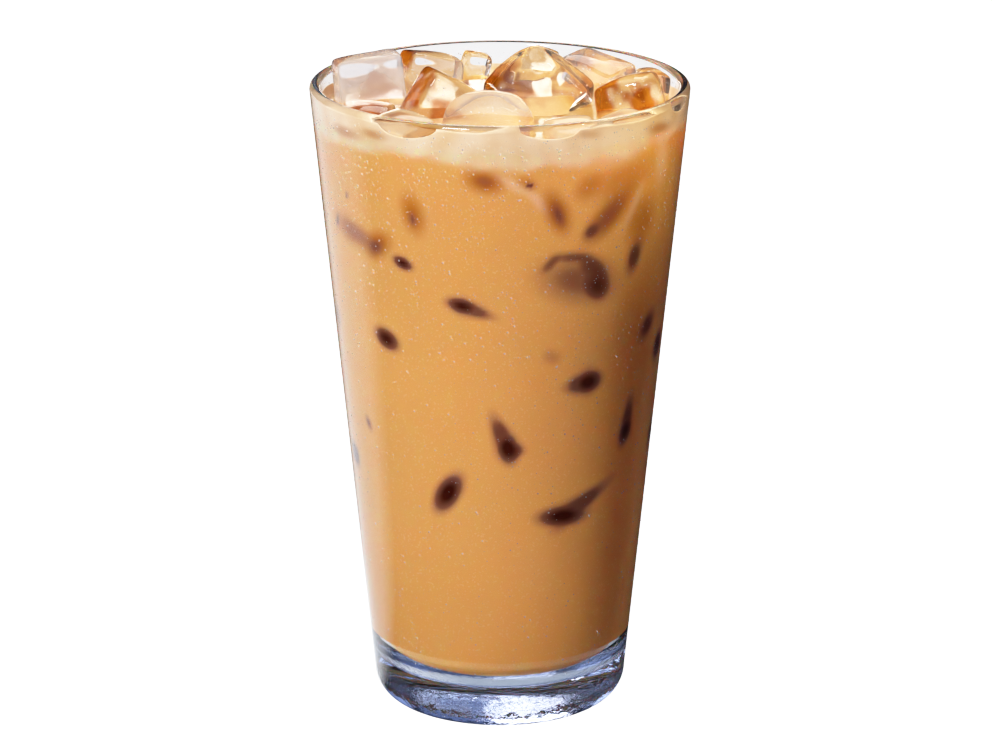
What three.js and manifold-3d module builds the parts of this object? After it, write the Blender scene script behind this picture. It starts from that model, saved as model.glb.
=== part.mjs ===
// Iced latte: a tall tapered glass with a thick clear base, filled with milky coffee and heaped with ice.
// Millimetres, +Z up. The origin is the centre of the glass's foot, on the surface that it stands on.
// Seen from the front, the viewer looks along +Y with +X to the right.
import * as THREE from "three";
import { mergeVertices } from "three/addons/utils/BufferGeometryUtils.js";
import Module from "manifold-3d";

// Glass
const GLASS_HEIGHT = 149.2;
const RIM_RADIUS = 44; // outside, at the top of the wall
const BASE_RADIUS = 28.9; // outside, where the straight wall would meet the table
const HEEL_RADIUS = 7.5; // rounding between the wall and the foot
const RIM_WALL = 2.6;
const LOW_WALL = 3.3; // wall thickness level with the floor
const FLOOR_HEIGHT = 9.8; // thickness of the clear base at its centre
const FLOOR_CORNER = 8; // rounding between the floor and the inner wall
const FOOT_RING = 3.5; // width of the flat ring that the glass stands on
const FOOT_HOLLOW = 1.4; // height of the shallow dome under the base
const ROUND_STEPS = 80;
const ARC_STEPS = 5;

// Drink
const DRINK_LEVEL = 142.5;
const GAP = 0.3; // clearance that touching solids keep

// Ice
const MELT = 0.45; // height of the soft waves that melting leaves on a block
const WAVES = 4; // waves laid over each other on a block
const WAVE_RATE = 0.75; // radians per millimetre along a wave, at most
const GRID = 5; // divisions along each side of a block

// Each block of ice that stands out of the drink: its size along its own X, Y and Z, the rounding
// of its edges, its centre, its turn in degrees, and the corners that have melted flat.
const ICE_BLOCKS = [
  { name: "ice_left", size: [16.5, 9, 22], round: 2.2, at: [-29.9, 7.2, 143], turn: [0, -6, 16] },
  { name: "ice_low_left", size: [13, 11.5, 9], round: 2.6, at: [-30.7, -8.2, 141.3], turn: [4, 0, -14] },
  { name: "ice_back_left", size: [15, 9, 18], round: 2.2, at: [-17.6, 26.4, 141], turn: [-6, 12, 30] },
  { name: "ice_chip", size: [6.5, 6, 9], round: 1.4, at: [-6, 33, 144], turn: [0, 14, 20] },
  { name: "ice_middle_left", size: [15, 12, 16], round: 2.6, at: [-13.9, -2, 143.1], turn: [-15, 30, 20] },
  {
    name: "ice_front",
    size: [22, 20, 10],
    round: 4.6,
    at: [-3, -21.8, 143.6],
    turn: [30, 0, 2],
    worn: [
      { toward: [-1, 1, 0], depth: 6 },
      { toward: [1, 1.2, 0], depth: 5 },
    ],
  },
  {
    name: "ice_middle",
    size: [20, 10, 20],
    round: 2.4,
    at: [8.8, 3.6, 146],
    turn: [-48, 43, 6],
    worn: [{ toward: [-1, -0.5, 1], depth: 4 }],
  },
  { name: "ice_back", size: [8, 7, 14], round: 2, at: [8.8, 27.4, 144.2], turn: [0, 14, -15] },
  { name: "ice_back_right", size: [16, 14, 9], round: 3, at: [22.6, 21.2, 145.4], turn: [8, 6, -35] },
  { name: "ice_far_right", size: [11, 7, 15], round: 2.2, at: [35, 10.6, 142], turn: [0, 5, -72] },
  { name: "ice_right", size: [15, 12.5, 17], round: 3.6, at: [30.2, -4.9, 143.2], turn: [-8, -14, -20] },
  { name: "ice_front_right", size: [13, 14, 8], round: 2.8, at: [16.4, -26, 142], turn: [10, 0, 14] },
  { name: "ice_low_right", size: [11, 10, 8], round: 2.8, at: [28.2, -18.4, 142.5], turn: [6, -6, 38] },
  { name: "ice_front_left", size: [13, 13.5, 9], round: 3, at: [-22.3, -22.6, 142], turn: [8, 0, -38] },
];

const wasm = await Module();
wasm.setup();

// Radius of the straight outer wall at a height.
function wallRadius(height) {
  return BASE_RADIUS + ((RIM_RADIUS - BASE_RADIUS) * height) / GLASS_HEIGHT;
}

// Radius of the inner wall at a height: the wall thins evenly from the floor to the rim.
function boreRadius(height) {
  const share = (height - FLOOR_HEIGHT) / (GLASS_HEIGHT - FLOOR_HEIGHT);
  return wallRadius(height) - LOW_WALL - (RIM_WALL - LOW_WALL) * share;
}

// Points of an arc in the profile's (radius, height) plane, angles in degrees.
function arc(radius, height, size, from, to, steps = ARC_STEPS) {
  return Array.from({ length: steps + 1 }, (_, i) => {
    const angle = THREE.MathUtils.degToRad(from + ((to - from) * i) / steps);
    return new THREE.Vector2(radius + size * Math.cos(angle), height + size * Math.sin(angle));
  });
}

// A closed solid of revolution about +Z from a profile that starts and ends on the axis.
function turned(profile) {
  return new THREE.LatheGeometry(profile, ROUND_STEPS).rotateX(Math.PI / 2);
}

// The floor and its rounded corner, from the axis outwards, drawn in by a clearance.
function floorProfile(inset) {
  const slope = THREE.MathUtils.radToDeg(Math.atan2(boreRadius(GLASS_HEIGHT) - boreRadius(0), GLASS_HEIGHT));
  const cornerHeight = FLOOR_HEIGHT + FLOOR_CORNER;
  const cornerRadius = boreRadius(cornerHeight) - FLOOR_CORNER;
  const corner = arc(cornerRadius, cornerHeight, FLOOR_CORNER - inset, -90, -slope);
  return [new THREE.Vector2(0, FLOOR_HEIGHT + inset), ...corner];
}

function glassGeometry() {
  const footOuter = wallRadius(HEEL_RADIUS) - HEEL_RADIUS;
  const footInner = footOuter - FOOT_RING;
  const dome = Array.from({ length: ARC_STEPS }, (_, i) => {
    const share = i / ARC_STEPS;
    return new THREE.Vector2(footInner * share, FOOT_HOLLOW * (1 - share * share));
  });
  const heel = arc(footOuter, HEEL_RADIUS, HEEL_RADIUS, -90, 0);
  const lipHeight = GLASS_HEIGHT - RIM_WALL / 2;
  const lip = arc(wallRadius(lipHeight) - RIM_WALL / 2, lipHeight, RIM_WALL / 2, 0, 180, 2 * ARC_STEPS);
  const foot = [new THREE.Vector2(footInner, 0)];
  return turned([...dome, ...foot, ...heel, ...lip, ...floorProfile(0).reverse()]);
}

function drinkGeometry() {
  const rim = new THREE.Vector2(boreRadius(DRINK_LEVEL) - GAP, DRINK_LEVEL);
  return turned([...floorProfile(GAP), rim, new THREE.Vector2(0, DRINK_LEVEL)]);
}

// A small repeatable random number generator.
function seeded(seed) {
  let state = seed;
  return () => {
    state = (Math.imul(state, 1664525) + 1013904223) >>> 0;
    return state / 2 ** 32;
  };
}

// Soft waves that melting leaves on a block, the same each time for the same block.
function meltWaves(seed) {
  const random = seeded(seed);
  return Array.from({ length: WAVES }, () => ({
    along: new THREE.Vector3(random() - 0.5, random() - 0.5, random() - 0.5).multiplyScalar(WAVE_RATE),
    phase: random() * 2 * Math.PI,
  }));
}

// A corner that has melted flat: whatever stands past a plane across it is pressed back to that plane.
function wearCorner(point, half, { toward, depth }) {
  const normal = new THREE.Vector3(...toward).normalize();
  const reach = half.x * Math.abs(normal.x) + half.y * Math.abs(normal.y) + half.z * Math.abs(normal.z);
  const excess = point.dot(normal) - (reach - depth);
  if (excess > 0) point.addScaledVector(normal, -excess);
}

// A block of ice: a box with rounded edges, worn corners and waves, larger all round by grow.
function iceGeometry({ size, round, at, worn = [] }, grow) {
  const box = new THREE.BoxGeometry(...size, GRID, GRID, GRID);
  box.deleteAttribute("normal");
  box.deleteAttribute("uv");
  const geometry = mergeVertices(box);
  const half = new THREE.Vector3(...size).multiplyScalar(0.5);
  const core = half.clone().subScalar(round);
  const grown = half.clone().addScalar(grow);
  const waves = meltWaves(Math.round(at[0] * at[1] + 1000));
  const position = geometry.getAttribute("position");
  const point = new THREE.Vector3();
  for (let i = 0; i < position.count; i++) {
    point.fromBufferAttribute(position, i);
    for (const axis of ["x", "y", "z"]) {
      point[axis] = half[axis] * Math.sin((Math.PI / 2) * (point[axis] / half[axis]));
    }
    const inner = point.clone().clamp(core.clone().negate(), core);
    const outward = point.clone().sub(inner).normalize();
    const wave = waves.reduce((sum, w) => sum + Math.sin(w.along.dot(point) + w.phase), 0) / WAVES;
    point.copy(inner).addScaledVector(outward, round + grow + MELT * wave);
    worn.forEach((corner) => wearCorner(point, grown, corner));
    position.setXYZ(i, point.x, point.y, point.z);
  }
  return geometry;
}

function solidOf(geometry) {
  const bare = geometry.clone();
  bare.deleteAttribute("normal");
  bare.deleteAttribute("uv");
  const merged = mergeVertices(bare);
  return new wasm.Manifold(
    new wasm.Mesh({
      numProp: 3,
      vertProperties: merged.getAttribute("position").array,
      triVerts: new Uint32Array(merged.index.array),
    }),
  );
}

function geometryOf(solid) {
  const { vertProperties, triVerts } = solid.getMesh();
  const geometry = new THREE.BufferGeometry();
  geometry.setAttribute("position", new THREE.BufferAttribute(vertProperties, 3));
  geometry.setIndex(new THREE.BufferAttribute(triVerts, 1));
  geometry.computeVertexNormals();
  return geometry;
}

function named(name, geometry, material) {
  const mesh = new THREE.Mesh(geometry, material);
  mesh.name = name;
  return mesh;
}

function finish(color, roughness, opacity) {
  const transparent = opacity < 1;
  return new THREE.MeshStandardMaterial({ color, roughness, opacity, transparent, metalness: 0 });
}

const clearGlass = finish(0xe9eef2, 0.03, 0.3);
const clearIce = finish(0xf1e4d4, 0.05, 0.45);
const latte = finish(0xcf9a5b, 0.35, 1);

const ice = new THREE.Group();
for (const block of ICE_BLOCKS) {
  const mesh = named(block.name, iceGeometry(block, 0), clearIce);
  mesh.position.set(...block.at);
  mesh.rotation.set(...block.turn.map(THREE.MathUtils.degToRad));
  ice.add(mesh);
}
ice.updateMatrixWorld(true);

// The drink is cut round every block, and keeps its one main body.
let liquid = solidOf(drinkGeometry());
ice.children.forEach((mesh, i) => {
  liquid = liquid.subtract(solidOf(iceGeometry(ICE_BLOCKS[i], GAP).applyMatrix4(mesh.matrixWorld)));
});
const [body] = liquid.decompose().sort((a, b) => b.volume() - a.volume());

const icedLatte = new THREE.Group();
icedLatte.add(named("glass", glassGeometry(), clearGlass));
icedLatte.add(named("drink", geometryOf(body), latte));
icedLatte.add(ice);

export default icedLatte;
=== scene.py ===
"""Iced latte: looks for the tapered glass, the milky coffee in it and the ice heaped on top."""

import math
import random
from collections import namedtuple

import bmesh
import bpy
import numpy as np
from mathutils import Matrix, Vector, noise


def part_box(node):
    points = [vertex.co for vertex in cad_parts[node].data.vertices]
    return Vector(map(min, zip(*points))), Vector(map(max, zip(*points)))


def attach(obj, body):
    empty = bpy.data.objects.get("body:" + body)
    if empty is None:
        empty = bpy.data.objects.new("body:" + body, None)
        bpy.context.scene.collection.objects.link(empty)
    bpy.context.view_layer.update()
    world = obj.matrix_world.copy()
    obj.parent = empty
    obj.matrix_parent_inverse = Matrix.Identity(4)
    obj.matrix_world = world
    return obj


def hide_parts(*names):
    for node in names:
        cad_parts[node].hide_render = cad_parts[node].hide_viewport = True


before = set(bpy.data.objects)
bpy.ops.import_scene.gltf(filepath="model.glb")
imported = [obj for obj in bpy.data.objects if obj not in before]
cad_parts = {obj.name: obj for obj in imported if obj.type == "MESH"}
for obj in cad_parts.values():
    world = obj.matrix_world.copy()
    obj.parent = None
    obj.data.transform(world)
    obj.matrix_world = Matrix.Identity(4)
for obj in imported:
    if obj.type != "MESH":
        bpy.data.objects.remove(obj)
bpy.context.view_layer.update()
MM = 0.001

# Glass, in millimetres
GLASS_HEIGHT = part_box("glass")[1].z / MM
RIM_RADIUS = 44.0
BASE_RADIUS = 28.9
HEEL_RADIUS = 7.5
RIM_WALL = 2.6
LOW_WALL = 3.3
FLOOR_HEIGHT = 9.8
FLOOR_CORNER = 8.0
FOOT_RING = 3.5
FOOT_HOLLOW = 1.4
GLASS_SEGMENTS = 224
ARC_STEPS = 14
DOME_STEPS = 11
GLASS_IOR = 1.5
GLASS_TINT = (0.32, 0.50, 0.88)
GLASS_TINT_DENSITY = 26.0
RIPPLES_PER_METRE = 380.0
RIPPLE_STRENGTH = 0.9
RIPPLE_HEIGHT = 1.0

# Drink, in millimetres
DRINK_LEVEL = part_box("drink")[1].z / MM
INTO_WALL = 0.15
FLOOR_CLEAR = 0.05
CLEAR_RISE = 1.2
INTO_ICE = 0.12
CUTTER_DETAIL = 0.25
MENISCUS = 1.1
MENISCUS_WIDTH = 1.6
DRINK_SEGMENTS = 330
SIDE_ROWS = 150
TOP_RINGS = 42
FLOOR_RINGS = 14
FILM_HIGH = 5.0
FILM_LOW = 1.5
FILM_THICKNESS = 0.3
FILM_ROWS = 12
FILM_TAPER = 0.7
# Clear windows in the film, where ice lies against the glass: angle, half width in degrees, and depth.
FILM_WINDOWS = [(-30, 10.0, 2.2), (15.3, 9.5, 2.0), (72, 7, 2.0)]

# Ice, in millimetres
ICE_NODES = sorted(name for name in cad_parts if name.startswith("ice_"))
ICE_LEVELS = 3
DENT_DEPTH = 0.4
DENT_SIZE = 8.0
PIT_DEPTH = 0.05
PIT_SIZE = 2.6
BUBBLES = 30
BUBBLE_SIZE = (0.07, 0.24)
BUBBLE_DEPTHS = (0.45, 0.9)
BUBBLE_SINK = 1
BUBBLE_SEED = 5
ICE_IOR = 1.31

# Condensation, in millimetres
DROPS = 8800
DROP_SIZE = (0.07, 0.26)
DROP_SIDES = 6
DROP_SINK = 0.03
DROP_SHOULDER = 0.72
DROP_SHOULDER_RISE = 0.2
DROP_TOP_RISE = 0.3
DROP_SEED = 8
DROP_LOWEST = HEEL_RADIUS + 6
DROP_SHARE = 0.12
DROP_SHARE_AT_RIM = 0.75
DROP_SHARE_IN_PATCH = 0.45
PATCHES_ROUND = 8
PATCH_HEIGHT = 14
WATER_IOR = 1.33
DROP_CLEAR = 0.72

# Photograph's view
IMAGE_WIDTH = 992
FOCAL_PIXELS = 4832.5
SENSOR = 36.0
CAMERA_PLACE = (-0.9, -1084.0, 406.0)
CAMERA_PITCH = 16.767


# Mesh helpers

def new_object(name, vertices, faces, materials):
    mesh = bpy.data.meshes.new(name)
    mesh.from_pydata(vertices, [], faces)
    mesh.update()
    mesh.shade_smooth()
    for material in materials:
        mesh.materials.append(material)
    piece = bpy.data.objects.new(name, mesh)
    bpy.context.scene.collection.objects.link(piece)
    return piece


def coordinates(mesh):
    flat = np.empty(len(mesh.vertices) * 3)
    mesh.vertices.foreach_get("co", flat)
    return flat.reshape(-1, 3)


def bake_modifiers(piece):
    evaluated = piece.evaluated_get(bpy.context.evaluated_depsgraph_get())
    mesh = bpy.data.meshes.new_from_object(evaluated)
    piece.modifiers.clear()
    piece.data = mesh


def smooth(share):
    share = np.clip(share, 0, 1)
    return share * share * (3 - 2 * share)


def arc(radius, height, size, start, end, steps=ARC_STEPS):
    angles = np.radians(np.linspace(start, end, steps + 1))
    return [(radius + size * math.cos(a), height + size * math.sin(a)) for a in angles]


def turned(profile, segments):
    """Vertices in metres and faces of the solid that a profile sweeps, from axis to axis, outside first.

    A point's radius and height may each be one number, or an array with a number for each segment.
    """
    angles = np.linspace(0, 2 * math.pi, segments, endpoint=False)
    vertices = [(0, 0, profile[0][1] * MM), (0, 0, profile[-1][1] * MM)]
    for radius, height in profile[1:-1]:
        ring = np.empty((segments, 3))
        ring[:, 0] = radius * np.sin(angles)
        ring[:, 1] = -radius * np.cos(angles)
        ring[:, 2] = height
        vertices.extend((ring * MM).tolist())
    rings = len(profile) - 2
    faces = []
    for step in range(segments):
        after = (step + 1) % segments
        faces.append((0, 2 + after, 2 + step))
        for ring in range(rings - 1):
            low = 2 + ring * segments
            high = low + segments
            faces.append((low + step, low + after, high + after, high + step))
        last = 2 + (rings - 1) * segments
        faces.append((1, last + step, last + after))
    return vertices, faces


def wall_radius(height):
    return BASE_RADIUS + (RIM_RADIUS - BASE_RADIUS) * height / GLASS_HEIGHT


def bore_radius(height):
    share = (height - FLOOR_HEIGHT) / (GLASS_HEIGHT - FLOOR_HEIGHT)
    return wall_radius(height) - LOW_WALL - (RIM_WALL - LOW_WALL) * share


def floor_profile(outset):
    """Floor and rounded corner of the inside, from the axis outwards, pushed into the glass by outset."""
    rise = bore_radius(GLASS_HEIGHT) - bore_radius(0)
    slope = math.degrees(math.atan2(rise, GLASS_HEIGHT))
    height = FLOOR_HEIGHT + FLOOR_CORNER
    corner = arc(bore_radius(height) - FLOOR_CORNER, height, FLOOR_CORNER + outset, -90, -slope)
    return [(0, FLOOR_HEIGHT - outset)] + corner


# Material helpers

def new_material(name):
    material = bpy.data.materials.new(name)
    material.use_nodes = True
    return material, material.node_tree, material.node_tree.nodes["Principled BSDF"]


def add_node(tree, kind, **settings):
    node = tree.nodes.new(kind)
    for key, value in settings.items():
        setattr(node, key, value)
    return node


def noise_texture(tree, scale, detail=3.0):
    texture = add_node(tree, "ShaderNodeTexNoise", noise_dimensions="4D")
    texture.inputs["Scale"].default_value = scale
    texture.inputs["Detail"].default_value = detail
    place = add_node(tree, "ShaderNodeTexCoord")
    tree.links.new(place.outputs["Object"], texture.inputs["Vector"])
    return texture


def add_bump(tree, shader, height, strength, distance):
    bump = add_node(tree, "ShaderNodeBump")
    bump.inputs["Strength"].default_value = strength
    bump.inputs["Distance"].default_value = distance
    tree.links.new(height, bump.inputs["Height"])
    tree.links.new(bump.outputs["Normal"], shader.inputs["Normal"])


def add_absorption(tree, colour, density):
    volume = add_node(tree, "ShaderNodeVolumeAbsorption")
    volume.inputs["Color"].default_value = (*colour, 1)
    volume.inputs["Density"].default_value = density
    output = tree.nodes["Material Output"]
    tree.links.new(volume.outputs["Volume"], output.inputs["Volume"])


def mix_colour(tree, share, first, second):
    """Output socket of a mix; first may be a colour or a socket."""
    mix = add_node(tree, "ShaderNodeMix", data_type="RGBA")
    tree.links.new(share, mix.inputs["Factor"])
    for socket, value in ((mix.inputs[6], first), (mix.inputs[7], second)):
        if isinstance(value, tuple):
            socket.default_value = (*value, 1)
        else:
            tree.links.new(value, socket)
    return mix.outputs[2]


def ramp(tree, value, start, end, top=1.0):
    """Output socket of a value stretched from start and end to 0 and top."""
    stretch = add_node(tree, "ShaderNodeMapRange")
    stretch.inputs["From Min"].default_value = start
    stretch.inputs["From Max"].default_value = end
    stretch.inputs["To Max"].default_value = top
    tree.links.new(value, stretch.inputs["Value"])
    return stretch.outputs["Result"]


# Glass

def glass_material():
    """Clear glass, a little blue where it is thick, with ripples in the base."""
    material, tree, shader = new_material("clear_glass")
    shader.inputs["Base Color"].default_value = (1, 1, 1, 1)
    shader.inputs["Roughness"].default_value = 0.005
    shader.inputs["IOR"].default_value = GLASS_IOR
    shader.inputs["Transmission Weight"].default_value = 1.0
    add_absorption(tree, GLASS_TINT, GLASS_TINT_DENSITY)
    place = add_node(tree, "ShaderNodeTexCoord")
    height = add_node(tree, "ShaderNodeSeparateXYZ")
    tree.links.new(place.outputs["Object"], height.inputs["Vector"])
    low = ramp(tree, height.outputs["Z"], FLOOR_HEIGHT * MM, 0.0)
    ripples = noise_texture(tree, RIPPLES_PER_METRE)
    rippled = add_node(tree, "ShaderNodeMath", operation="MULTIPLY")
    tree.links.new(low, rippled.inputs[0])
    tree.links.new(ripples.outputs["Fac"], rippled.inputs[1])
    add_bump(tree, shader, rippled.outputs["Value"], RIPPLE_STRENGTH, RIPPLE_HEIGHT * MM)
    return material


def make_glass():
    foot_outer = wall_radius(HEEL_RADIUS) - HEEL_RADIUS
    foot_inner = foot_outer - FOOT_RING
    dome = [(foot_inner * s, FOOT_HOLLOW * (1 - s * s)) for s in np.linspace(0, 1, DOME_STEPS + 1)[:-1]]
    heel = arc(foot_outer, HEEL_RADIUS, HEEL_RADIUS, -90, 0)
    lip_height = GLASS_HEIGHT - RIM_WALL / 2
    lip = arc(wall_radius(lip_height) - RIM_WALL / 2, lip_height, RIM_WALL / 2, 0, 180, 2 * ARC_STEPS)
    profile = dome + [(foot_inner, 0)] + heel + lip + floor_profile(0)[::-1]
    vertices, faces = turned(profile, GLASS_SEGMENTS)
    glass = new_object("tapered_glass", vertices, faces, [glass_material()])
    glass.visible_shadow = False
    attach(glass, "root")
    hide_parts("glass")


# Condensation

def drop_places():
    """Angle, height and size of each drop on the outer wall, denser towards the rim and in patches."""
    draw = random.Random(DROP_SEED)
    places = []
    while len(places) < DROPS:
        angle = draw.uniform(-math.pi, math.pi)
        height = draw.uniform(DROP_LOWEST, GLASS_HEIGHT - RIM_WALL)
        rise = height / GLASS_HEIGHT
        place = (PATCHES_ROUND * math.sin(angle), PATCHES_ROUND * math.cos(angle), height / PATCH_HEIGHT)
        patch = noise.noise(Vector(place))
        if draw.random() < DROP_SHARE + DROP_SHARE_AT_RIM * rise ** 3 + DROP_SHARE_IN_PATCH * patch:
            size = DROP_SIZE[0] + (DROP_SIZE[1] - DROP_SIZE[0]) * draw.random() ** 4
            places.append((angle, height, size))
    return places


def make_drops():
    """Fine condensation: low domes of water, sunk a little into the wall."""
    lean = math.atan2(RIM_RADIUS - BASE_RADIUS, GLASS_HEIGHT)
    turns = np.linspace(0, 2 * math.pi, DROP_SIDES, endpoint=False)
    vertices, faces = [], []
    for angle, height, size in drop_places():
        level = np.array([math.sin(angle), -math.cos(angle), 0])
        outward = level * math.cos(lean) - np.array([0, 0, math.sin(lean)])
        across = np.array([math.cos(angle), math.sin(angle), 0])
        upward = np.cross(across, outward)
        foot = level * wall_radius(height)
        foot[2] = height
        first = len(vertices)
        for radius, rise in ((1.0, -DROP_SINK), (DROP_SHOULDER, DROP_SHOULDER_RISE * size)):
            for turn in turns:
                side = (across * math.cos(turn) + upward * math.sin(turn)) * size * radius
                vertices.append((foot + side + outward * rise) * MM)
        vertices.append((foot + outward * DROP_TOP_RISE * size) * MM)
        faces.append(tuple(first + step for step in reversed(range(DROP_SIDES))))
        for step in range(DROP_SIDES):
            after = (step + 1) % DROP_SIDES
            low, high = first, first + DROP_SIDES
            faces.append((low + step, low + after, high + after, high + step))
            faces.append((high + step, high + after, first + 2 * DROP_SIDES))
    material, _, shader = new_material("water_drops")
    shader.inputs["Base Color"].default_value = (1, 1, 1, 1)
    shader.inputs["Roughness"].default_value = 0.0
    shader.inputs["IOR"].default_value = WATER_IOR
    shader.inputs["Transmission Weight"].default_value = DROP_CLEAR
    drops = new_object("condensation", vertices, faces, [material])
    drops.visible_shadow = False
    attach(drops, "root")


# Ice

Look = namedtuple("Look", "tint cloud")
# Colour of each block, and how milky it is.
ICE_LOOKS = {
    "ice_left": Look((0.93, 0.95, 1.0), 0.28),
    "ice_low_left": Look((0.97, 0.80, 0.50), 0.25),
    "ice_back_left": Look((0.90, 0.93, 0.99), 0.06),
    "ice_chip": Look((0.94, 0.97, 1.00), 0.0),
    "ice_middle_left": Look((0.99, 0.94, 0.82), 0.05),
    "ice_front": Look((0.99, 0.93, 0.86), 0.22),
    "ice_middle": Look((0.99, 0.97, 0.93), 0.03),
    "ice_back": Look((0.94, 0.97, 1.00), 0.0),
    "ice_back_right": Look((0.99, 0.95, 0.94), 0.12),
    "ice_far_right": Look((0.99, 0.94, 0.90), 0.05),
    "ice_right": Look((0.99, 0.93, 0.80), 0.04),
    "ice_front_right": Look((0.95, 0.80, 0.60), 0.45),
    "ice_low_right": Look((0.96, 0.82, 0.62), 0.4),
    "ice_front_left": Look((0.95, 0.80, 0.58), 0.45),
}
Stain = namedtuple("Stain", "block place reach strength")
# Coffee that clings to the ice: the block, the middle of the stain, its reach and its strength.
ICE_STAINS = [
    Stain("ice_middle_left", (-19.5, -4, 148.5), 7.5, 1.0),
    Stain("ice_middle_left", (-17, 0, 152), 5.0, 1.0),
    Stain("ice_middle_left", (-13, -7.5, 143.8), 4.5, 0.9),
    Stain("ice_back_left", (-23, 24.2, 149.5), 5.0, 1.0),
    Stain("ice_left", (-38, 6, 152.8), 4.5, 0.7),
    Stain("ice_left", (-28, 3, 146), 6.0, 0.5),
    Stain("ice_middle", (-2.3, -0.5, 149.7), 5.0, 1.0),
    Stain("ice_middle", (1.5, 1.5, 152.5), 3.5, 0.8),
    Stain("ice_middle", (19.6, 0, 147.2), 4.0, 0.8),
    Stain("ice_middle", (4, -2, 146.5), 4.5, 0.8),
    Stain("ice_middle", (10, -3, 147.5), 5.0, 0.45),
    Stain("ice_right", (24, -7, 150.2), 5.0, 1.0),
    Stain("ice_right", (22.9, -8, 147.5), 4.5, 1.0),
    Stain("ice_right", (32.5, -11.4, 147), 5.0, 1.0),
    Stain("ice_back_right", (18.7, 19, 149.8), 3.5, 0.6),
    Stain("ice_back_right", (28, 20.5, 149), 3.5, 0.6),
    Stain("ice_low_left", (-30, -12, 145.2), 7.0, 0.9),
    Stain("ice_front_left", (-22.6, -23.7, 146.4), 4.0, 0.5),
    Stain("ice_front", (-11, -24, 146), 3.5, 0.5),
    Stain("ice_front", (6, -23, 145.5), 3.5, 0.4),
    Stain("ice_far_right", (37, 7, 148), 4.0, 0.7),
]
STAIN_COLOUR = (0.34, 0.07, 0.0012)
STAIN_GRAIN = 2.4
STAIN_RAGGED = 0.9


def hash_name(name):
    """A number for each block, to set its noise apart."""
    return 7.31 * sum(ord(letter) for letter in name) % 100


def ice_material(name):
    look = ICE_LOOKS[name]
    material, tree, shader = new_material(name + "_clear")
    layer = add_node(tree, "ShaderNodeAttribute", attribute_name="stain")
    colour = mix_colour(tree, layer.outputs["Fac"], look.tint, STAIN_COLOUR)
    tree.links.new(colour, shader.inputs["Base Color"])
    shader.inputs["Roughness"].default_value = 0.01
    shader.inputs["IOR"].default_value = ICE_IOR
    shader.inputs["Transmission Weight"].default_value = 1.0 - look.cloud
    return material


def paint_ice(name, mesh):
    """Share of each point of a block that coffee stains, broken up by a grain."""
    at = coordinates(mesh) / MM
    seed = Vector((0, hash_name(name), 0))
    grain = np.array([noise.noise(Vector(p) / STAIN_GRAIN + seed) for p in at])
    clear = np.ones(len(at))
    for stain in ICE_STAINS:
        if stain.block == name:
            away = np.linalg.norm(at - np.array(stain.place), axis=1) / stain.reach
            clear *= 1 - stain.strength * smooth(2 * (1 - away) + STAIN_RAGGED * grain)
    layer = mesh.attributes.new("stain", "FLOAT", "POINT")
    layer.data.foreach_set("value", 1 - clear)


def refined_ice(name):
    """Mesh of a block: the solid's own faces smoothed, then dented and pitted by melting."""
    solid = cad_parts[name]
    shape = bmesh.new()
    shape.from_mesh(solid.data)
    bmesh.ops.remove_doubles(shape, verts=shape.verts, dist=0.01 * MM)
    bmesh.ops.join_triangles(shape, faces=shape.faces, angle_face_threshold=0.7, angle_shape_threshold=0.9)
    mesh = bpy.data.meshes.new(name + "_melted")
    shape.to_mesh(mesh)
    shape.free()
    piece = bpy.data.objects.new(name + "_melted", mesh)
    bpy.context.scene.collection.objects.link(piece)
    smoothing = piece.modifiers.new("smooth", "SUBSURF")
    smoothing.levels = ICE_LEVELS
    bake_modifiers(piece)
    mesh = piece.data
    seed = Vector((hash_name(name), 0, 0))
    normals = [v.normal.copy() for v in mesh.vertices]
    for vertex, normal in zip(mesh.vertices, normals):
        at = vertex.co / MM
        dent = noise.noise(at / DENT_SIZE + seed) * DENT_DEPTH
        pit = noise.noise(at / PIT_SIZE + seed) * PIT_DEPTH
        vertex.co += normal * (dent + pit) * MM
    mesh.update()
    mesh.shade_smooth()
    return piece


def make_bubbles(blocks):
    """Small white air bubbles shut in the ice."""
    draw = random.Random(BUBBLE_SEED)
    shape = bmesh.new()
    for block in blocks:
        at = coordinates(block.data) / MM
        middle = at.mean(axis=0)
        high = at[at[:, 2] > DRINK_LEVEL - BUBBLE_SINK]
        for _ in range(BUBBLES):
            outer = high[draw.randrange(len(high))]
            place = middle + (outer - middle) * draw.uniform(*BUBBLE_DEPTHS)
            size = BUBBLE_SIZE[0] + (BUBBLE_SIZE[1] - BUBBLE_SIZE[0]) * draw.random() ** 3
            shift = Matrix.Translation(Vector(place) * MM)
            bmesh.ops.create_icosphere(shape, subdivisions=1, radius=size * MM, matrix=shift)
    mesh = bpy.data.meshes.new("ice_bubbles")
    shape.to_mesh(mesh)
    shape.free()
    mesh.shade_smooth()
    material, _, shader = new_material("trapped_air")
    shader.inputs["Base Color"].default_value = (1, 1, 1, 1)
    shader.inputs["Roughness"].default_value = 0.2
    mesh.materials.append(material)
    bubbles = bpy.data.objects.new("ice_bubbles", mesh)
    bpy.context.scene.collection.objects.link(bubbles)
    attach(bubbles, "root")


def make_ice():
    blocks = []
    for name in ICE_NODES:
        piece = refined_ice(name)
        piece.data.materials.clear()
        piece.data.materials.append(ice_material(name))
        paint_ice(name, piece.data)
        piece.visible_shadow = False
        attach(piece, "root")
        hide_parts(name)
        blocks.append(piece)
    return blocks


# Drink

Spot = namedtuple("Spot", "kind angle height long wide tilt strength trail toward", defaults=(0, 0))
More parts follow.
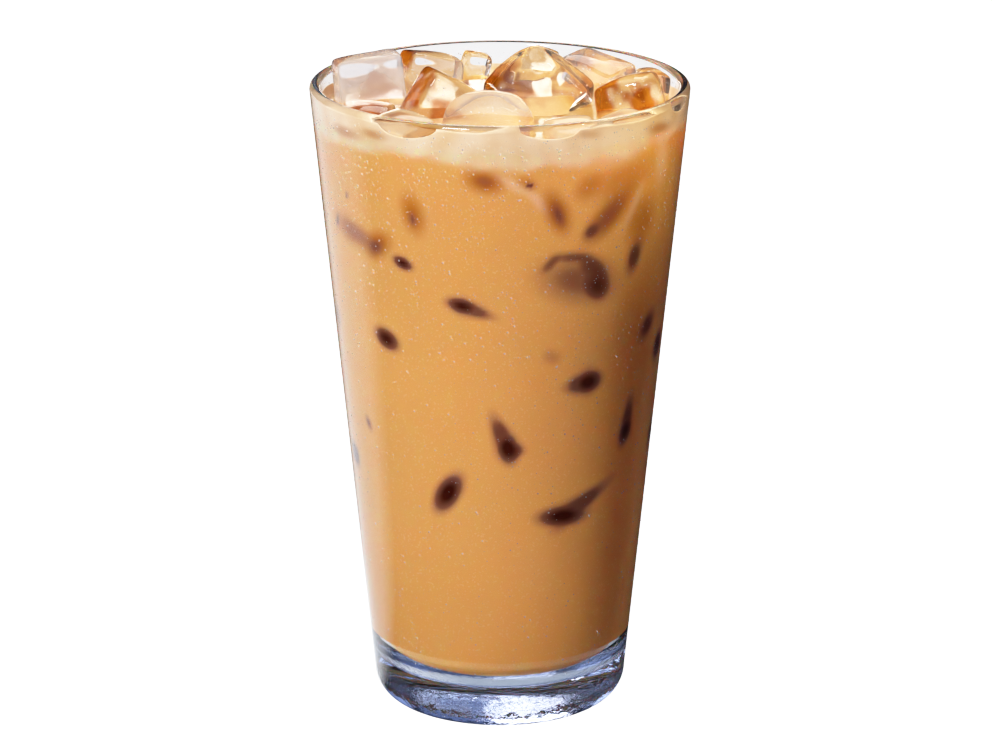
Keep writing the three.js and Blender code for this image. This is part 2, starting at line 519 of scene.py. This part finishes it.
# Places where ice under the surface touches or nears the glass, streaks of paler milk, and one painted
# highlight: angle round the glass from the front, height, half length and width, tilt, strength, and any
# trail and its way.
SPOTS = [
    Spot("dark", -34.3, 114.8, 2.7, 1.5, -19, 0.95, 2.5, -30),
    Spot("dark", -12.7, 106.0, 3.9, 1.9, -15, 0.95, 10.0, -20),
    Spot("dark", -44.1, 95.4, 3.7, 2.5, -21, 0.95),
    Spot("dark", 33.9, 86.1, 3.7, 2.8, 5, 1.0, 8.0, 185),
    Spot("dark", 3.0, 71.6, 4.0, 2.4, 100, 1.0, 12.0, 112),
    Spot("dark", 5.5, 71.0, 2.4, 1.6, -5, 0.5),
    Spot("dark", -21.1, 59.8, 5.5, 2.7, 59, 1.0),
    Spot("dark", 26.5, 53.7, 6.0, 2.6, -2, 1.0, 18.0, 28),
    Spot("dark", 56.0, 71.2, 3.6, 2.2, 76, 0.9, 12.0, 84),
    Spot("dark", 84.0, 66.0, 4.0, 3.0, 85, 0.5),
    Spot("dark", -59.7, 72.6, 2.0, 1.0, -62, 0.5, 3.0, -60),
    Spot("dark", -76.7, 62.1, 3.2, 2.6, -60, 0.7),
    Spot("dark", -79.9, 95.5, 3.0, 3.0, 70, 0.35),
    Spot("dark", 27.5, 111.4, 10.0, 5.6, -14, 0.44),
    Spot("dark", 35.4, 109.2, 3.6, 2.9, -57, 0.72),
    Spot("dark", 33.1, 114.2, 4.4, 2.2, -37, 0.5),
    Spot("dark", 24.5, 117.2, 4.6, 1.3, -4, 0.4),
    Spot("dark", 16.8, 116.0, 2.8, 1.3, 45, 0.36),
    Spot("dark", 51.1, 114.4, 4.2, 2.5, 76, 0.6),
    Spot("dark", 64.1, 95.8, 3.9, 2.8, 45, 0.55),
    Spot("dark", 77.3, 88.7, 3.6, 3.2, 84, 0.75),
    Spot("dark", 18.8, 93.4, 2.4, 1.7, -25, 0.22),
    Spot("amber", 38.2, 126.1, 8.0, 3.6, 42, 1.0),
    Spot("dark", 37.0, 125.4, 6.6, 2.5, 44, 0.36),
    Spot("dark", 31.0, 122.8, 2.2, 1.7, 40, 0.5),
    Spot("amber", 18.5, 128.2, 5.6, 2.8, -66, 1.0),
    Spot("dark", 19.0, 127.6, 3.4, 1.3, -68, 0.5),
    Spot("amber", 28.9, 133.6, 3.8, 2.7, 35, 0.55),
    Spot("amber", -5.0, 136.0, 4.4, 2.8, -14, 1.0),
    Spot("dark", -4.6, 136.0, 2.2, 1.2, -14, 0.3),
    Spot("amber", -29.2, 127.0, 5.0, 2.9, -77, 0.9),
    Spot("dark", -29.3, 125.8, 1.8, 1.0, -80, 0.5),
    Spot("amber", -45.0, 117.9, 4.8, 3.0, 32, 1.0),
    Spot("dark", -45.5, 117.4, 2.8, 1.8, 40, 0.4),
    Spot("amber", -57.9, 119.4, 7.0, 3.2, -12, 1.0),
    Spot("dark", -53.0, 119.0, 6.0, 1.8, -16, 0.32),
    Spot("dark", -67.1, 120.5, 1.9, 0.9, 70, 0.5),
    Spot("dark", -58.6, 127.8, 0.9, 0.7, 70, 0.5),
    Spot("amber", 8.6, 135.4, 2.6, 1.5, -33, 0.6),
    Spot("dark", 9.4, 135.0, 0.9, 0.7, -33, 0.8),
    Spot("pale", 3.8, 135.3, 5.5, 1.2, -31, 0.5),
    Spot("pale", 12.8, 130.6, 4.6, 1.2, -50, 0.45),
    Spot("pale", 48.6, 126.9, 6.0, 1.3, 64, 0.4),
    Spot("amber", 53.0, 122.5, 6.0, 5.0, 80, 0.7),
    Spot("amber", 42.0, 133.5, 9.0, 4.2, 12, 0.5),
    # Painted highlight: a pale upright streak for a reflection on the glass at the upper right.
    Spot("pale", 62.0, 136.0, 6.5, 3.0, 97, 0.5),
    Spot("pale", 36.7, 138.4, 7.5, 1.8, -2, 0.3),
    Spot("amber", -56.0, 143.2, 5.5, 1.6, -1, 0.8),
    Spot("amber", -42.0, 144.4, 4.0, 1.2, -3, 0.6),
    Spot("amber", 27.8, 146.0, 3.2, 1.1, -7, 0.5),
    Spot("amber", 58.9, 143.8, 5.2, 1.5, -7, 0.7),
]
BACK_SPOTS = 17
BACK_SEED = 21
BACK_START = 102
BACK_SPAN = 156
BACK_HEIGHTS = (54, 132)
BACK_AMBER_FROM = 118
BACK_LONG = (3, 6)
BACK_WIDE = (1.8, 3)
BACK_TRAILS = (0, 0, 5, 9)
BACK_STRENGTH = (0.6, 1)
SPOT_EDGE = 1.5
SPOT_SOFT = 1.35
TRAIL_STRENGTH = 0.6
FOAM_GRAIN = 5.0
MARBLE_GRAIN = 8.5
MARBLE_SEED = Vector((3, 11, 7))
STIR = 10.0
STIR_GRAIN = 13.0
STIR_SEED = 4
# Painted shade: the drink's wall turns amber in its rounded bottom corner.
LOW_SHADE = 4.0
# Painted shade: the drink's wall turns darker amber towards the foot, below this height.
FOOT_SHADE_TOP = 62.0
FOOT_SHADE_SHARE = 0.34
CREAM_LOW = 138.4
CREAM_HIGH = 141.2
CREAM_SHARE = 0.78
CREAM_PATCHES = 0.5
CORNER_SHADE_SHARE = 0.8
# Marbling of the open surface: coffee and milk streaks, and also painted shade and caustic light of the
# ice.
AMBER_STREAKS_AND_SHADE = 0.9
DARK_STREAKS_AND_SHADE = 0.3
PALE_STREAKS_AND_CAUSTICS = 0.3
WALL_REACH = 0.4


def all_spots():
    """The spots at the front and chance ones round the back."""
    draw = random.Random(BACK_SEED)
    spots = list(SPOTS)
    for i in range(BACK_SPOTS):
        angle = BACK_START + BACK_SPAN * (i + draw.uniform(0.1, 0.9)) / BACK_SPOTS
        height = draw.uniform(*BACK_HEIGHTS)
        kind = "amber" if height > BACK_AMBER_FROM else "dark"
        long = draw.uniform(*BACK_LONG)
        wide = draw.uniform(*BACK_WIDE)
        trail = draw.choice(BACK_TRAILS)
        tilt = draw.uniform(0, 180)
        strength = draw.uniform(*BACK_STRENGTH)
        spots.append(Spot(kind, angle, height, long, wide, tilt, strength, trail, tilt))
    return spots


def spot_shade(spot, angle, height):
    """How much of a spot shows at points of the wall: full at its middle, soft towards its edge."""
    turn = (angle - math.radians(spot.angle) + math.pi) % (2 * math.pi) - math.pi
    right = turn * bore_radius(spot.height)
    up = height - spot.height
    tilt = math.radians(spot.tilt)
    along = right * math.cos(tilt) + up * math.sin(tilt)
    side = up * math.cos(tilt) - right * math.sin(tilt)
    core = smooth((SPOT_EDGE - np.hypot(along / spot.long, side / spot.wide)) / SPOT_SOFT)
    if not spot.trail:
        return spot.strength * core
    # The trail narrows away from the spot and fades at both ends.
    toward = math.radians(spot.toward)
    along = (right * math.cos(toward) + up * math.sin(toward)) / spot.trail
    side = up * math.cos(toward) - right * math.sin(toward)
    width = spot.wide * np.clip(1.5 - 1.1 * along, 0.3, 1.5)
    smudge = smooth(1.2 - np.abs(side) / width) * smooth(1.5 - 1.5 * along) * smooth(1 + 3 * along)
    return spot.strength * np.maximum(core, TRAIL_STRENGTH * smudge)


def swirl_and_ice_shade(place):
    """Streaks of milk and coffee on the open surface, which double as painted shade and caustic light of
    the ice: a noise that another noise stirs.
    """
    stirred = place + STIR * noise.noise_vector(place / STIR_GRAIN)
    return noise.noise(stirred / MARBLE_GRAIN + MARBLE_SEED)


def paint_drink(mesh):
    """Point colours of the drink: how far ice shows as a dark or an amber spot, how creamy it is, painted
    shade low on the wall, and marbling that is partly painted shade and caustic light.
    """
    at = coordinates(mesh) / MM
    angle = np.arctan2(at[:, 0], -at[:, 1])
    height = at[:, 2]
    on_wall = np.hypot(at[:, 0], at[:, 1]) > bore_radius(height) - WALL_REACH
    foam = np.array([noise.noise(Vector(p) / FOAM_GRAIN) for p in at])
    # The creamy band under the rim has an uneven lower edge.
    wobble = np.sin(3 * angle + 0.6) * 0.8 + np.sin(7 * angle + 2) * 0.5 + foam
    cream = smooth((height + wobble - CREAM_LOW) / (CREAM_HIGH - CREAM_LOW))
    cream *= CREAM_SHARE + CREAM_PATCHES * foam
    # The marbling gives streaks and also painted shade and caustic light under the ice.
    noise.seed_set(STIR_SEED)
    marbled_and_shade = np.array([swirl_and_ice_shade(Vector(p)) for p in at])
    # Painted shade in the bottom corner of the wall.
    low = smooth((FLOOR_HEIGHT + FLOOR_CORNER - height) / LOW_SHADE)
    # Painted shade that deepens towards the foot of the wall.
    foot_shade = FOOT_SHADE_SHARE * smooth((FOOT_SHADE_TOP - height) / FOOT_SHADE_TOP)
    amber = np.where(on_wall, np.maximum(CORNER_SHADE_SHARE * low, foot_shade), AMBER_STREAKS_AND_SHADE * smooth(2.4 * marbled_and_shade))
    dark = DARK_STREAKS_AND_SHADE * smooth(3 * marbled_and_shade - 0.8) * ~on_wall
    pale = np.where(on_wall, np.clip(cream, 0, 1), PALE_STREAKS_AND_CAUSTICS * smooth(-2 * marbled_and_shade))
    shades = {"dark": dark, "amber": amber, "pale": pale}
    for spot in all_spots():
        shade = spot_shade(spot, angle, height) * on_wall
        shades[spot.kind] = 1 - (1 - shades[spot.kind]) * (1 - shade)
    colours = np.stack([shades["dark"], shades["amber"], shades["pale"], np.ones(len(at))], axis=1)
    layer = mesh.attributes.new("near_ice", "FLOAT_COLOR", "POINT")
    layer.data.foreach_set("color", colours.ravel())


LATTE = (0.755, 0.39, 0.122)
# Latte of the open surface among the ice, painted darker than at the glass as shade of the ice; the
# clinging film takes it as its body too.
LATTE_OPEN_SHADED = (0.66, 0.35, 0.10)
LATTE_FRINGE = (0.28, 0.115, 0.075)
LATTE_DARK = (0.045, 0.005, 0.0015)
LATTE_AMBER = (0.42, 0.13, 0.010)
LATTE_CREAM = (0.96, 0.71, 0.49)
# Colour of painted glints: tiny highlights of condensation drops on the glass.
LATTE_GLINT = (0.92, 0.66, 0.36)
# Painted caustic light and shade on the drink's underside.
UNDER_CAUSTIC_LIGHT = (0.80, 0.86, 0.96)
UNDER_CAUSTIC_SHADE = (0.30, 0.34, 0.46)
UNDER_RISE = 4.0
UNDER_CAUSTICS_PER_METRE = 60.0
CLOUDS_PER_METRE = 28.0
CLOUD_PALER = 1.15
CLOUD_SHARE = 0.4
GLINTS_PER_METRE = 2100.0
GLINT_SHARE = 0.3
MILK_SCATTER = (1.0, 0.24, 0.07)
MILK_DEPTH = 12.0


def latte_material(name, body, roughness, specular, depth):
    material, tree, shader = new_material(name)
    layer = add_node(tree, "ShaderNodeAttribute", attribute_name="near_ice")
    parts = add_node(tree, "ShaderNodeSeparateColor")
    tree.links.new(layer.outputs["Color"], parts.inputs["Color"])
    clouds = noise_texture(tree, CLOUDS_PER_METRE)
    # Fine pale specks: painted glints of condensation drops.
    painted_glints = noise_texture(tree, GLINTS_PER_METRE, 0.0)
    paler = tuple(min(1.0, c * CLOUD_PALER) for c in body)
    cloudy = ramp(tree, clouds.outputs["Fac"], 0.3, 0.7, CLOUD_SHARE)
    glinted = ramp(tree, painted_glints.outputs["Fac"], 0.64, 0.74, GLINT_SHARE)
    colour = mix_colour(tree, cloudy, body, paler)
    colour = mix_colour(tree, parts.outputs["Blue"], colour, LATTE_CREAM)
    colour = mix_colour(tree, glinted, colour, LATTE_GLINT)
    colour = mix_colour(tree, parts.outputs["Green"], colour, LATTE_AMBER)
    colour = mix_colour(tree, ramp(tree, parts.outputs["Red"], 0.0, 0.5), colour, LATTE_FRINGE)
    colour = mix_colour(tree, ramp(tree, parts.outputs["Red"], 0.3, 0.95), colour, LATTE_DARK)
    tree.links.new(colour, shader.inputs["Base Color"])
    shader.inputs["Roughness"].default_value = roughness
    shader.inputs["Specular IOR Level"].default_value = specular
    if depth:
        shader.inputs["Subsurface Weight"].default_value = 1.0
        shader.inputs["Subsurface Radius"].default_value = MILK_SCATTER
        shader.inputs["Subsurface Scale"].default_value = depth * MM
    return material


def under_material():
    """Underside of the drink, which the clear base shows: painted pale blue caustic light with patches of
    painted navy shade.
    """
    material, tree, shader = new_material("latte_under")
    # Painted caustics: patches of light and shade in place of the drink's own colour.
    patches = noise_texture(tree, UNDER_CAUSTICS_PER_METRE, 2.0)
    colour = mix_colour(tree, ramp(tree, patches.outputs["Fac"], 0.42, 0.6), UNDER_CAUSTIC_LIGHT, UNDER_CAUSTIC_SHADE)
    tree.links.new(colour, shader.inputs["Base Color"])
    shader.inputs["Roughness"].default_value = 0.6
    shader.inputs["Specular IOR Level"].default_value = 0.0
    return material


def film_top(angle):
    """Uneven height that the milk clinging to the glass reaches, at angles in radians."""
    front = np.minimum(1, 0.8 + 0.8 * np.cos(angle))
    top = DRINK_LEVEL + FILM_LOW + (FILM_HIGH - FILM_LOW) * np.maximum(0, front)
    top += 0.3 * np.sin(5 * angle + 1) + 0.2 * np.sin(13 * angle)
    for centre, half, depth in FILM_WINDOWS:
        turn = (np.degrees(angle) - centre + 180) % 360 - 180
        top -= depth * np.sqrt(np.clip(1 - (turn / half) ** 2, 0, 1))
    return np.maximum(top, DRINK_LEVEL + FILM_LOW)


def drink_profile():
    """The drink from the middle of its floor, up the wall, over the clinging film and in along the top.

    Its floor and rounded corner keep a hair clear of the glass, so that the base mirrors like clear glass
    under a drink that bends light less than glass does. Above the corner it reaches just into the wall.
    """
    film = film_top(np.linspace(0, 2 * math.pi, DRINK_SEGMENTS, endpoint=False))
    floor = floor_profile(-FLOOR_CLEAR)
    profile = [floor[0]]
    profile += [(floor[1][0] * s, floor[0][1]) for s in np.linspace(0, 1, FLOOR_RINGS)[1:-1]]
    profile += floor[1:]
    for height in np.linspace(floor[-1][1] + CLEAR_RISE, DRINK_LEVEL, SIDE_ROWS):
        profile.append((bore_radius(height) + INTO_WALL, height))
    for share in np.linspace(0, 1, FILM_ROWS)[1:]:
        height = DRINK_LEVEL + (film - DRINK_LEVEL) * share
        profile.append((bore_radius(height) + INTO_WALL, height))
    edge_height = DRINK_LEVEL + MENISCUS
    for share in np.linspace(1, 0, FILM_ROWS):
        height = edge_height + (film - edge_height) * share
        profile.append((bore_radius(height) - FILM_THICKNESS * (1 - FILM_TAPER * share), height))
    edge = bore_radius(edge_height) - FILM_THICKNESS
    for radius in np.linspace(edge, 0, TOP_RINGS)[1:]:
        lift = MENISCUS * math.exp((radius - edge) / MENISCUS_WIDTH)
        profile.append((radius, DRINK_LEVEL + lift))
    return profile


def ice_cutter(blocks):
    """One mesh of every block, drawn in a little, to cut from the drink."""
    shape = bmesh.new()
    for block in blocks:
        shape.from_mesh(block.data)
    shape.normal_update()
    for vertex in shape.verts:
        vertex.co -= vertex.normal * INTO_ICE * MM
    mesh = bpy.data.meshes.new("cutter")
    shape.to_mesh(mesh)
    shape.free()
    cutter = bpy.data.objects.new("cutter", mesh)
    bpy.context.scene.collection.objects.link(cutter)
    thinning = cutter.modifiers.new("thin", "DECIMATE")
    thinning.ratio = CUTTER_DETAIL
    bake_modifiers(cutter)
    return cutter


WALL_SLOT, OPEN_SLOT, FILM_SLOT, UNDER_SLOT = range(4)
WALL_TOUCH = 0.2


def slot_of(centre):
    """Material slot of a face of the drink, from its centre in millimetres."""
    inside = bore_radius(centre.z) - math.hypot(centre.x, centre.y)
    if centre.z > DRINK_LEVEL and inside < 2 * FILM_THICKNESS:
        return FILM_SLOT
    if centre.z < FLOOR_HEIGHT + UNDER_RISE:
        return UNDER_SLOT
    if inside < WALL_TOUCH or centre.z < FLOOR_HEIGHT + FLOOR_CORNER:
        return WALL_SLOT
    return OPEN_SLOT


def make_drink(blocks):
    vertices, faces = turned(drink_profile(), DRINK_SEGMENTS)
    drink = new_object("milky_coffee", vertices, faces, [])
    cutter = ice_cutter(blocks)
    cut = drink.modifiers.new("cut", "BOOLEAN")
    cut.object = cutter
    cut.operation = "DIFFERENCE"
    cut.solver = "MANIFOLD"
    bake_modifiers(drink)
    bpy.data.objects.remove(cutter)
    mesh = drink.data
    mesh.materials.clear()
    mesh.materials.append(latte_material("latte_at_glass", LATTE, 0.5, 0.0, MILK_DEPTH))
    mesh.materials.append(latte_material("latte_open", LATTE_OPEN_SHADED, 0.12, 0.25, 0.0))
    mesh.materials.append(latte_material("latte_film", LATTE_OPEN_SHADED, 0.35, 0.1, 0.0))
    mesh.materials.append(under_material())
    for face in mesh.polygons:
        face.material_index = slot_of(face.center / MM)
    mesh.shade_smooth()
    paint_drink(mesh)
    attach(drink, "root")
    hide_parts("drink")


# Stage

def aim(thing, place, target):
    thing.location = Vector(place) * MM
    thing.rotation_euler = (Vector(target) - Vector(place)).to_track_quat("-Z", "Y").to_euler()


def add_light(name, lamp, place, target, power, colour):
    lamp.energy = power
    lamp.color = colour
    thing = bpy.data.objects.new(name, lamp)
    bpy.context.scene.collection.objects.link(thing)
    aim(thing, place, target)


def add_lamp(name, place, target, size, power, colour):
    lamp = bpy.data.lights.new(name, "AREA")
    lamp.shape = "RECTANGLE"
    lamp.size, lamp.size_y = size[0] * MM, size[1] * MM
    add_light(name, lamp, place, target, power, colour)


def add_spot(name, place, target, cone, size, power, colour):
    lamp = bpy.data.lights.new(name, "SPOT")
    lamp.spot_size = math.radians(cone)
    lamp.spot_blend = 1.0
    lamp.shadow_soft_size = size * MM
    add_light(name, lamp, place, target, power, colour)


Sheet = namedtuple("Sheet", "seen_by near far toward start end grey sides")
WIDE = (-4.0, 4.0, -4.0, 4.0)
FAR_PATCH = (-0.14, 0.14, 0.2, 0.9)
NEAR_PATCH = (-0.06, 0.06, -0.1, 0.06)
SHEET_GAP = 0.2
# The pale floor, split by what looks at it. The camera sees plain white. Glass and ice look through to two
# white patches with dark all round, one far behind and one close by. They mirror a white floor at the back
# left, and are lit by a pale floor on the left and a warm dim one on the right. Near and far are the glows
# at the start and end of a ramp, which are cosines from the way that toward gives. Sides are in metres.
SHEETS = [
    Sheet(("camera",), (1.7, 1.7, 1.7), (1.7, 1.7, 1.7), (0, 1), -1.0, 1.0, 0.2, WIDE),
    Sheet(("transmission",), (1.0, 1.05, 1.15), (1.3, 1.3, 1.3), (0, 1), -1.0, 1.0, 0.05, FAR_PATCH),
    Sheet(("transmission",), (0.5, 0.55, 0.60), (1.0, 1.0, 1.0), (-0.9, 0.44), 0.0, 0.7, 0.05, NEAR_PATCH),
    Sheet(("glossy",), (0.02, 0.02, 0.025), (1.65, 1.7, 1.8), (-0.839, 0.545), 0.80, 0.94, 0.0, WIDE),
    Sheet(("diffuse", "shadow"), (0.13, 0.025, 0.008), (0.38, 0.36, 0.34), (-1, 0), -0.4, 0.4, 0.0, WIDE),
]
Card = namedtuple("Card", "glow left right")
# Glowing cards behind that show only through glass and ice: a white one, a navy one, and a pale one at each
# side. Left and right are the places of a card's upright edges on the floor, in metres.
CARDS = [
    Card((9.6, 8.2, 6.8), (-0.5, 1.1), (0.04, 1.1)),
    Card((0.30, 0.34, 0.46), (0.04, 1.1), (0.6, 1.1)),
    Card((0.8, 0.9, 1.2), (0.7, 1.0), (1.1, 0.65)),
    Card((3.0, 3.0, 3.2), (-1.3, 0.45), (-0.8, 0.95)),
]
CARD_HEIGHT = 0.6
WORLD_COLOUR = (0.35, 0.5, 1.0)
WORLD_STRENGTH = 0.015


def floor_material(sheet):
    material, tree, shader = new_material("floor_" + sheet.seen_by[0])
    place = add_node(tree, "ShaderNodeTexCoord")
    way = add_node(tree, "ShaderNodeVectorMath", operation="NORMALIZE")
    tree.links.new(place.outputs["Object"], way.inputs[0])
    cosine = add_node(tree, "ShaderNodeVectorMath", operation="DOT_PRODUCT")
    tree.links.new(way.outputs["Vector"], cosine.inputs[0])
    cosine.inputs[1].default_value = (*sheet.toward, 0)
    share = ramp(tree, cosine.outputs["Value"], sheet.start, sheet.end)
    tree.links.new(mix_colour(tree, share, sheet.near, sheet.far), shader.inputs["Emission Color"])
    shader.inputs["Emission Strength"].default_value = 1.0
    shader.inputs["Base Color"].default_value = (sheet.grey, sheet.grey, sheet.grey, 1)
    shader.inputs["Roughness"].default_value = 0.9
    shader.inputs["Specular IOR Level"].default_value = 0.0
    return material


def add_sheet(name, corners, material, seen_by):
    sheet = new_object(name, corners, [(0, 1, 2, 3)], [material])
    for ray in ("camera", "diffuse", "glossy", "transmission", "shadow"):
        setattr(sheet, "visible_" + ray, ray in seen_by)


def add_floor():
    for step, sheet in enumerate(SHEETS):
        low = -SHEET_GAP * (step + 1) * MM
        left, right, front, back = sheet.sides
        corners = [(left, front, low), (right, front, low), (right, back, low), (left, back, low)]
        add_sheet(f"floor_{step}", corners, floor_material(sheet), sheet.seen_by)


def add_cards():
    for step, card in enumerate(CARDS):
        material, _, shader = new_material(f"card_{step}")
        shader.inputs["Base Color"].default_value = (0, 0, 0, 1)
        shader.inputs["Emission Color"].default_value = (*card.glow, 1)
        shader.inputs["Emission Strength"].default_value = 1.0
        foot = [(*card.left, 0), (*card.right, 0)]
        head = [(*card.right, CARD_HEIGHT), (*card.left, CARD_HEIGHT)]
        add_sheet(f"card_{step}", foot + head, material, ("transmission",))


def add_world():
    world = bpy.data.worlds.new("studio")
    world.use_nodes = True
    background = world.node_tree.nodes["Background"]
    background.inputs["Color"].default_value = (*WORLD_COLOUR, 1)
    background.inputs["Strength"].default_value = WORLD_STRENGTH
    bpy.context.scene.world = world


def add_camera():
    camera = bpy.data.cameras.new("camera")
    camera.sensor_width = SENSOR
    camera.lens = FOCAL_PIXELS * SENSOR / IMAGE_WIDTH
    camera.clip_end = 20
    thing = bpy.data.objects.new("camera", camera)
    thing.location = Vector(CAMERA_PLACE) * MM
    thing.rotation_euler = (math.radians(90 - CAMERA_PITCH), 0, 0)
    bpy.context.scene.collection.objects.link(thing)
    bpy.context.scene.camera = thing


# Scene brightness and the brightness that it shows as: highlights roll off softly, as on film.
TONE_CURVE = [
    (0, 0),
    (0.1, 0.1),
    (0.4, 0.394),
    (0.6, 0.57),
    (0.8, 0.71),
    (1.0, 0.826),
    (1.3, 0.93),
    (1.6, 1),
    (4, 1),
]


def set_tone():
    view = bpy.context.scene.view_settings
    view.view_transform = "Standard"
    view.use_curve_mapping = True
    mapping = view.curve_mapping
    mapping.clip_max_x = TONE_CURVE[-1][0]
    curve = mapping.curves[3]
    curve.points[0].location = TONE_CURVE[0]
    curve.points[1].location = TONE_CURVE[-1]
    for point in TONE_CURVE[1:-1]:
        curve.points.new(*point)
    mapping.update()


def add_stage():
    add_floor()
    add_cards()
    add_world()
    add_camera()
    add_lamp("key", (-610, -1050, 1230), (0, 0, 90), (380, 380), 30, (1, 0.985, 0.95))
    add_lamp("back", (250, 900, 900), (0, 0, 120), (700, 400), 4, (1, 0.93, 0.85))
    add_lamp("warm", (820, -570, 250), (0, 0, 80), (400, 400), 0.6, (1, 0.30, 0.24))
    add_spot("rim_glow", (520, -330, 640), (33, -24, 145), 3.0, 20, 32, (1, 0.88, 0.48))
    set_tone()


make_glass()
make_drops()
ice_blocks = make_ice()
make_bubbles(ice_blocks)
make_drink(ice_blocks)
add_stage()
